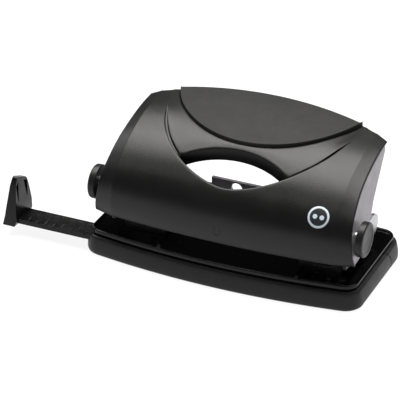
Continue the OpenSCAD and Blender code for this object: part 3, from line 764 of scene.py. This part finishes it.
def tray_piece(name, keep, node, cutters, body):
    """The part of the tray's ring inside the outline keep (y, z)."""
    loops = [ring_at(i, z) for i, z in tray_profile]
    ob = mesh_piece(name, *rings(loops), TRAY, body, "tray_plastic", [node])
    boolean(ob, prism("keep", keep, "x", -80, 80), "INTERSECT")
    for cutter in cutters:
        boolean(ob, cutter, "DIFFERENCE")
    smooth(ob, 30)


# outlines of the two parts; the skirt's front is chamfered below, so that the tray can swing down
front_part = seam_curve(-SEAM_GAP) + [(-60.0, 12.0), (-60.0, -1.0)]
rear_part = [(14.4, -1.0), (13.5, 1.7)] + seam_curve(SEAM_GAP)[2:] + [(60.0, 12.0), (60.0, -1.0)]
ruler_way = prism("notch", box_points(-25.9, -13.6, 4.8, 12.0), "x", -80, -41)
LUG_X, LUG_ROOM = 43.0, 3.3
lug_rooms = [prism("lugroom", box_points(x - LUG_ROOM, x + LUG_ROOM, -1.0, 4.5), "y", 12, 18)
             for x in (-LUG_X, LUG_X)]
tray_piece("chip_tray_shell", front_part, "chip_tray", [ruler_way], "tray")
tray_piece("tray_skirt_shell", rear_part, "tray_skirt", lug_rooms, "base")


def cross_wall(name, x0, x1, y0, y1, top, body):
    """An upright wall with rounded edges that closes tray or skirt along the seam."""
    lo, hi = np.array((x0, y0, 1.0)), np.array((x1, y1, top))
    bm = bmesh.new()
    bmesh.ops.create_cube(bm, size=1.0)
    for v in bm.verts:
        v.co = Vector(((lo + hi) / 2 + (hi - lo) * np.array(v.co)) * MM)
    bmesh.ops.bevel(bm, geom=bm.edges[:], offset=0.3 * MM, segments=3, profile=0.5, affect="EDGES")
    me = bpy.data.meshes.new(name)
    bm.to_mesh(me)
    bm.free()
    ob = bpy.data.objects.new(name, me)
    bpy.context.scene.collection.objects.link(ob)
    me.materials.append(TRAY)
    smooth(ob, 40)
    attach(ob, body)


WALL_LEFT, WALL_RIGHT = -61.2, 60.0
LUG_GAP = 3.6
cross_wall("tray_rear_wall", WALL_LEFT, WALL_RIGHT, 11.4, 12.8, 8.0, "tray")
for name, x0, x1 in (("left", WALL_LEFT, -LUG_X - LUG_GAP), ("mid", -LUG_X + LUG_GAP, LUG_X - LUG_GAP),
                     ("right", LUG_X + LUG_GAP, WALL_RIGHT)):
    cross_wall("skirt_front_wall_" + name, x0, x1, 14.1, 15.0, 8.4, "base")


def lug(name, x0, x1):
    """Hinge eye of the tray: a round end on a flat arm, bored for the pin."""
    pin_y, pin_z, eye_r, bore_r, root_y = 15.7, 2.2, 1.9, 0.98, 12.0
    turns = np.radians(np.linspace(-90, 90, 17))
    eye = [(pin_y + eye_r * math.cos(a), pin_z + eye_r * math.sin(a)) for a in turns]
    ob = prism(name, [(root_y, pin_z - eye_r)] + eye + [(root_y, pin_z + eye_r)], "x", x0, x1)
    boolean(ob, prism("bore", circle_points(pin_y, pin_z, bore_r, 24), "x", x0 - 1, x1 + 1), "DIFFERENCE")
    ob.data.materials.clear()
    ob.data.materials.append(TRAY)
    smooth(ob, 30)
    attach(ob, "tray")


lug("tray_lug_left", -LUG_X - 3.0, -LUG_X + 3.0)
lug("tray_lug_right", LUG_X - 3.0, LUG_X + 3.0)

# ---------------------------------------------------------------- axle caps
AXLE_Y, AXLE_Z = -17.5, 30.6
# (radius, distance from the middle): a blind bore, the rim, and a shallow step in the end face
cap_profile = [(0.0, 62.6), (3.05, 62.6), (3.05, 60.32), (7.4, 60.32), (7.64, 60.42), (7.7, 60.65),
               (7.7, 62.75), (7.62, 63.05), (7.4, 63.3), (7.05, 63.42), (6.5, 63.48), (5.9, 63.5),
               (5.65, 63.45), (5.4, 63.32), (5.1, 63.27), (0.0, 63.3)]
for side, end in ((-1, "left"), (1, "right")):
    verts, faces = lathe_x([(r, side * x) for r, x in cap_profile], AXLE_Y, AXLE_Z, 64)
    mesh_piece("axle_cap_disc_" + end, verts, faces, CAP, "base", "cap_plastic",
               ["axle_cap_" + end], angle=32)

# ---------------------------------------------------------------- paper guide
# x of the fence's face at its foot; top of the fence; ruler
FACE_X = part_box("paper_guide")[0].x / MM + 7.0
TOP = 28.3
RULER_Y, RULER_W, RULER_LOW, RULER_TOP, RULER_IN = -25.5, 11.0, 5.2, 7.4, -6.0
# the fence seen from the front (x, z) and from the end (y, z), and its two tapered recesses (y, z)
fence_side = [(-7.0, 4.5), (-1.2, 4.5), (0.0, 7.5), (-0.4, TOP), (-2.6, TOP), (-5.6, 10.0)]
fence_end = [(-28.0, 4.0), (-12.8, 4.0), (-12.8, 12.0), (-13.9, 16.5), (-14.9, 20.2), (-16.2, 23.9),
             (-17.2, 24.9), (-24.4, TOP - 0.02), (-25.3, TOP - 0.35), (-26.8, 24.5), (-28.0, 12.0)]
recesses = [[(-25.3, 16.4), (-24.9, 16.4), (-24.2, 25.4), (-26.4, 24.2)],
            [(-17.0, 15.2), (-16.6, 15.2), (-16.4, 22.8), (-19.3, 24.3)]]
guide = prism("paper_guide_moulded", [(FACE_X + x, z) for x, z in fence_side], "y", -30, -10)
boolean(guide, prism("front", fence_end, "x", FACE_X - 9, FACE_X + 3), "INTERSECT")
ruler = box_points(RULER_Y, RULER_Y + RULER_W, RULER_LOW, RULER_TOP)
boolean(guide, prism("ruler", ruler, "x", FACE_X - 3, RULER_IN), "UNION")
for recess in recesses:
    boolean(guide, prism("recess", recess, "x", FACE_X - 1.5, FACE_X + 3), "DIFFERENCE")
for k in range(9):
    # a graduation, and a shallow field beside it
    x = FACE_X + 4 + 4 * k
    far = -21.5 if k % 2 == 0 else -22.9
    mark = box_points(-26.5, far, RULER_TOP - 0.4, 8.5)
    boolean(guide, prism("mark", mark, "x", x, x + 0.7), "DIFFERENCE")
    field = box_points(-20.0, -16.2, RULER_TOP - 0.25, 8.5)
    boolean(guide, prism("field", field, "x", x + 1, x + 3.6), "DIFFERENCE")


def soft_edges(ob, width):
    """Rounds the sharp edges with a bevel modifier."""
    mod = ob.modifiers.new("edge", "BEVEL")
    mod.width = width * MM
    mod.segments = 2
    mod.limit_method = "ANGLE"
    mod.angle_limit = math.radians(40)


soft_edges(guide, 0.16)
guide.data.materials.clear()
guide.data.materials.append(GUIDE)
smooth(guide, 38)
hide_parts("paper_guide")
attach(guide, "guide")

# ---------------------------------------------------------------- carried-over parts
FINISH = {"tower_left": STEEL, "tower_right": STEEL, "tower_rivets": ROD, "die_left": DIE, "die_right": DIE,
          "axle_left": ROD, "axle_right": ROD, "guide_keeper": STEEL, "keeper_rivets": ROD,
          "guide_detent": SPRING, "tray_hinge_pins": ROD, "lever_frame": LEVER, "cover_screws": ROD,
          "punch_left": PUNCH, "punch_right": PUNCH, "punch_clip_left": SPRING, "punch_clip_right": SPRING,
          "punch_spring_left": SPRING, "punch_spring_right": SPRING}
BEVEL = {"tower_left": 0.18, "tower_right": 0.18, "lever_frame": 0.15, "guide_keeper": 0.15}
for node, material in FINISH.items():
    ob = NODES[node]
    if not ob.material_slots:
        ob.data.materials.append(material)
    for sl in ob.material_slots:
        sl.material = material
    if node in BEVEL:
        soft_edges(ob, BEVEL[node])

# ---------------------------------------------------------------- stage, light, camera
FLOOR = surface("floor_white", (0.13, 0.13, 0.13), 0.9, spec=0.1, grain=0.0, tone=0.01, tone_mm=400,
                rough_var=0.02)
glow = next(n for n in FLOOR.node_tree.nodes if n.type == "BSDF_PRINCIPLED")
glow.inputs["Emission Color"].default_value = (1, 1, 1, 1)
glow.inputs["Emission Strength"].default_value = 0.90
FLOOR_HALF, FLOOR_Z = 8, -0.0001
me = bpy.data.meshes.new("floor")
corners = box_points(-FLOOR_HALF, FLOOR_HALF, -FLOOR_HALF, FLOOR_HALF)
me.from_pydata([(x, y, FLOOR_Z) for x, y in corners], [], [(0, 1, 2, 3)])
floor = bpy.data.objects.new("floor", me)
bpy.context.scene.collection.objects.link(floor)
me.materials.append(FLOOR)

# the studio: a dim surround with one big soft panel overhead, given by its edges on a ceiling one unit up,
# each as (dark from, full from)
PANEL_LEFT, PANEL_RIGHT, PANEL_FRONT, PANEL_REAR = (-0.95, -0.75), (0.62, 0.44), (-0.16, -0.03), (0.85, 0.6)
PANEL_LIGHT, SURROUND, LOW_BACK_CUT, WARMER = 9.6, 0.12, 0.09, (1.0, 0.985, 0.965)
world = bpy.data.worlds.new("studio")
bpy.context.scene.world = world
world.use_nodes = True
wt = world.node_tree
wt.nodes.clear()
w_out = wt.nodes.new("ShaderNodeOutputWorld")
w_bg = wt.nodes.new("ShaderNodeBackground")
w_bg.inputs["Strength"].default_value = 1.0
wt.links.new(w_bg.outputs["Background"], w_out.inputs["Surface"])
w_co = wt.nodes.new("ShaderNodeTexCoord")
w_xyz = wt.nodes.new("ShaderNodeSeparateXYZ")
wt.links.new(w_co.outputs["Generated"], w_xyz.inputs["Vector"])


def w_math(op, a, b):
    n = wt.nodes.new("ShaderNodeMath")
    n.operation = op
    for i, v in enumerate((a, b)):
        if isinstance(v, (int, float)):
            n.inputs[i].default_value = v
        else:
            wt.links.new(v, n.inputs[i])
    return n.outputs[0]


def w_step(v, dark, full):
    """0 at dark and 1 at full, whichever of them is larger."""
    if full < dark:
        return w_step(w_math("MULTIPLY", v, -1.0), -dark, -full)
    n = wt.nodes.new("ShaderNodeMapRange")
    n.interpolation_type = "SMOOTHSTEP"
    n.inputs["From Min"].default_value = dark
    n.inputs["From Max"].default_value = full
    wt.links.new(v, n.inputs["Value"])
    return n.outputs["Result"]


high = w_math("MAXIMUM", w_xyz.outputs["Z"], 0.01)
wx = w_math("DIVIDE", w_xyz.outputs["X"], high)
wy = w_math("DIVIDE", w_xyz.outputs["Y"], high)
# a little brighter towards the right
panel = w_math("ADD", w_math("MULTIPLY", wx, 0.16), 1.0)
for v, edge in ((wx, PANEL_LEFT), (wx, PANEL_RIGHT), (wy, PANEL_FRONT), (wy, PANEL_REAR)):
    panel = w_math("MULTIPLY", panel, w_step(v, *edge))
low_back = w_math("MULTIPLY", w_step(wy, 0.9, 1.3), -LOW_BACK_CUT)
light = w_math("ADD", w_math("MULTIPLY", panel, PANEL_LIGHT), w_math("ADD", low_back, SURROUND))
w_mix = wt.nodes.new("ShaderNodeCombineXYZ")
for i, tint in enumerate(WARMER):
    wt.links.new(w_math("MULTIPLY", light, tint), w_mix.inputs[i])
wt.links.new(w_mix.outputs[0], w_bg.inputs["Color"])

# a small softbox for the left end
BOX_PLACE, BOX_TARGET = Vector((-1.15, 0.42, 0.55)), Vector((0, 0, 0.03))
li = bpy.data.lights.new("left_softbox", "AREA")
li.shape = "RECTANGLE"
li.size = 0.4
li.size_y = 0.5
li.energy = 2.0
box = bpy.data.objects.new("left_softbox", li)
bpy.context.scene.collection.objects.link(box)
box.location = BOX_PLACE
box.rotation_mode = "QUATERNION"
box.rotation_quaternion = (BOX_TARGET - BOX_PLACE).to_track_quat("-Z", "Y")
box.visible_camera = False

# the camera: azimuth and elevation, distance, and how far it is moved right and up in its own plane
DISTANCE, MOVE_RIGHT, MOVE_UP = 1.07511, -0.0192, 0.02308
AZ, EL = math.radians(24.18), math.radians(29.21)
right = Vector((math.cos(AZ), math.sin(AZ), 0))
up = Vector((-math.sin(AZ) * math.sin(EL), math.cos(AZ) * math.sin(EL), math.cos(EL)))
ahead = Vector((-math.sin(AZ) * math.cos(EL), math.cos(AZ) * math.cos(EL), -math.sin(EL)))
cam_data = bpy.data.cameras.new("camera")
cam_data.sensor_width = 36.0
cam_data.lens = 221.18
cam_data.clip_start, cam_data.clip_end = 0.05, 20
cam = bpy.data.objects.new("camera", cam_data)
bpy.context.scene.collection.objects.link(cam)
place = -ahead * DISTANCE + right * MOVE_RIGHT + up * MOVE_UP
cam.matrix_world = Matrix(((right.x, up.x, -ahead.x, place.x), (right.y, up.y, -ahead.y, place.y),
                           (right.z, up.z, -ahead.z, place.z), (0, 0, 0, 1)))
bpy.context.scene.camera = cam
bpy.context.scene.view_settings.view_transform = "Standard"
